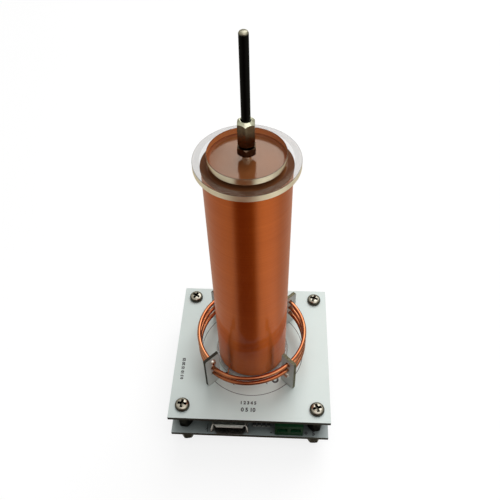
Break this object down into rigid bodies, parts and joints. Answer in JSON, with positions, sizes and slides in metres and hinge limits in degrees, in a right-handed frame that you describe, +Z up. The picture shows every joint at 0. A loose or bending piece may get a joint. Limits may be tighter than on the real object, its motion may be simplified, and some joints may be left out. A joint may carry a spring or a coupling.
{
  "type": "desktop resonant transformer",
  "caption": "Small bench resonant coil: tall fine-wound secondary with a discharge rod inside an open primary, on two stacked circuit boards.",
  "frame": {"origin": "centre of the square the four legs stand on, at floor level", "axes": "+Z up along the coil axis, -Y towards the side with the power socket and screw terminals"},
  "size_m": [0.06, 0.06, 0.1589],
  "materials": {
    "board_white": "satin white solder mask over glass laminate, dark cut edges",
    "support_white": "satin white laminate, dark cut edges",
    "copper_bare": "bright bare copper wire",
    "copper_enamel": "glossy enamelled copper, wound in fine turns",
    "acrylic_clear": "clear acrylic with polished edges",
    "tube_clear": "clear acrylic tube",
    "nickel_bright": "bright nickel plate",
    "nickel_dark": "dark nickel plate",
    "rod_black": "blackened steel, bright at its cut tip",
    "socket_steel": "folded tinned steel sheet",
    "socket_black": "moulded black plastic",
    "contact_gold": "gold-plated contacts",
    "terminal_green": "dark green moulded plastic",
    "tinned_metal": "tinned metal",
    "chip_black": "moulded black resin",
    "can_aluminium": "plain aluminium can"
  },
  "bodies": {
    "apparatus": {"legs": "nickel_dark", "lower_board": "board_white", "board_spacers": "nickel_dark", "upper_board": "board_white", "board_screws": "nickel_bright", "primary_coil": "copper_bare", "base_flange": "acrylic_clear", "coil_former": "tube_clear", "secondary_winding": "copper_enamel", "secondary_base_lead": "copper_enamel", "secondary_top_lead": "copper_enamel", "top_flange": "acrylic_clear", "top_disc": "acrylic_clear", "holder_screw": "nickel_bright", "holder_nut": "nickel_bright", "rod_holder": "nickel_bright", "discharge_rod": "rod_black", "usb_shell": "socket_steel", "usb_tongue": "socket_black", "usb_contacts": "contact_gold", "terminal_housing": "terminal_green", "terminal_contacts": "tinned_metal", "filter_can": "can_aluminium", "filter_can_base": "socket_black", "driver_chip": "chip_black", "driver_leads": "tinned_metal", "transistor_body": "chip_black", "transistor_tab": "tinned_metal", "chip_resistors": "chip_black", "chip_ends": "tinned_metal", "coil_support_front_right": "support_white", "coil_support_back_right": "support_white", "coil_support_back_left": "support_white", "coil_support_front_left": "support_white"},
    "left_screw": {"terminal_screw_left": "nickel_bright"},
    "right_screw": {"terminal_screw_right": "nickel_bright"},
    "left_clamp": {"terminal_clamp_left": "tinned_metal"},
    "right_clamp": {"terminal_clamp_right": "tinned_metal"}
  },
  "joints": [
    {"name": "left_screw_turn", "type": "hinge", "parent": "apparatus", "child": "left_screw", "pos_m": [0.01246, -0.0261, 0.018], "axis": [0, 0, -1], "range_deg": [0, 1296]},
    {"name": "right_screw_turn", "type": "hinge", "parent": "apparatus", "child": "right_screw", "pos_m": [0.01754, -0.0261, 0.018], "axis": [0, 0, -1], "range_deg": [0, 1296]},
    {"name": "left_clamp_rise", "type": "slide", "parent": "apparatus", "child": "left_clamp", "axis": [0, 0, 1], "range_m": [0, 0.0018]},
    {"name": "right_clamp_rise", "type": "slide", "parent": "apparatus", "child": "right_clamp", "axis": [0, 0, 1], "range_m": [0, 0.0018]}
  ],
  "couplings": [
    {"joint": "left_screw_turn", "follows": "left_clamp_rise", "rad_per_m": 12566},
    {"joint": "right_screw_turn", "follows": "right_clamp_rise", "rad_per_m": 12566}
  ]
}
